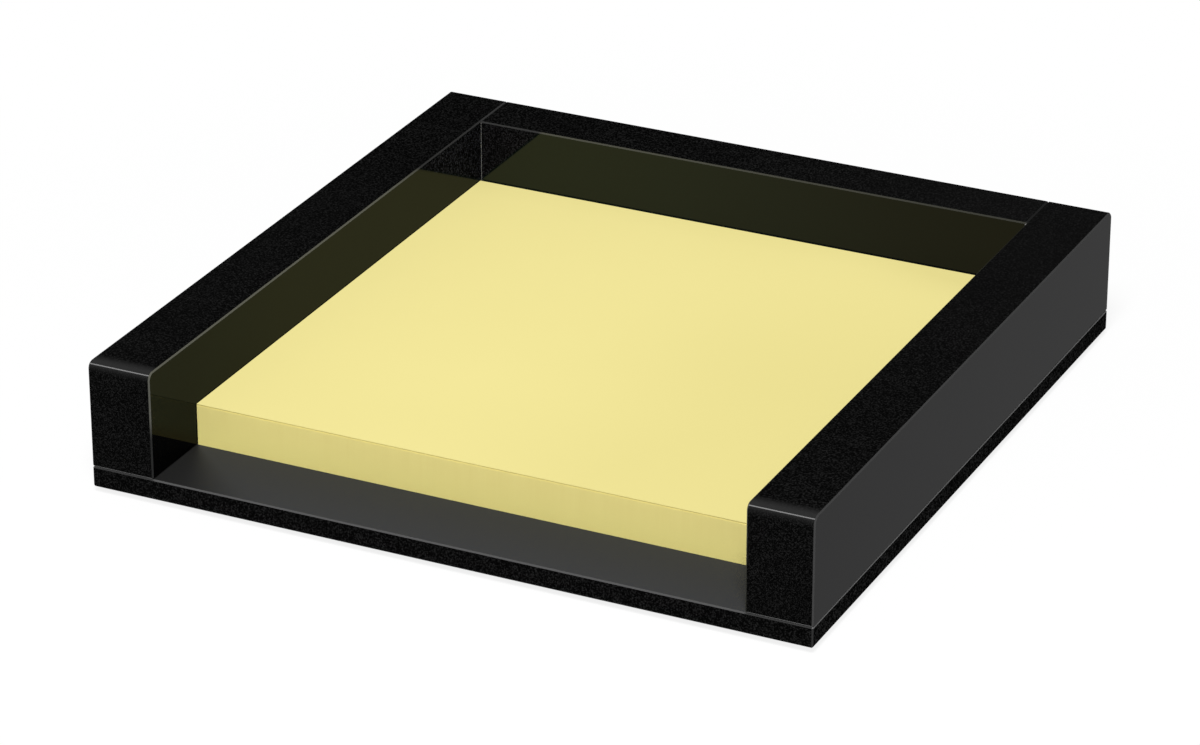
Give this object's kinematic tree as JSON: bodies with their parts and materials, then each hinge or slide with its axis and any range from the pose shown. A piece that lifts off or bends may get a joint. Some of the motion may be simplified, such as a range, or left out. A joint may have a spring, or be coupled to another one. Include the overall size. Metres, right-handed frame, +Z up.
{
  "type": "memo pad tray",
  "caption": "Low open-front desk tray of thick black sheet walls on a thin base, holding a square gummed block of yellow note paper.",
  "frame": {"origin": "centre of the tray's footprint, on the surface that the feet stand on", "axes": "+Z up; the open front faces -Y and the back wall is at +Y; +X is to the right as the user faces the open front"},
  "size_m": [0.112, 0.113, 0.0207],
  "materials": {
    "black_acrylic": "cast acrylic, polished and satin faces with fine-sanded sawn edges",
    "black_rubber": "moulded, dull",
    "yellow_paper": "uncoated note paper",
    "dried_gum": "brushed padding gum"
  },
  "bodies": {
    "holder": {"base_plate": "black_acrylic", "left_wall": "black_acrylic", "right_wall": "black_acrylic", "back_wall": "black_acrylic", "foot_front_left": "black_rubber", "foot_front_right": "black_rubber", "foot_back_left": "black_rubber", "foot_back_right": "black_rubber"},
    "pad": {"note_block": "yellow_paper", "gum_binding": "dried_gum"},
    "free_sheet": {"top_sheet": "yellow_paper"}
  },
  "joints": [
    {"name": "pad_lift", "type": "slide", "parent": "holder", "child": "pad", "axis": [0, 0, 1], "range_m": [0, 0.03]},
    {"name": "top_sheet_peel", "type": "hinge", "parent": "pad", "child": "free_sheet", "pos_m": [-0.0009, 0.04615, 0.0106], "axis": [-1, 0, 0], "range_deg": [0, 75]}
  ]
}
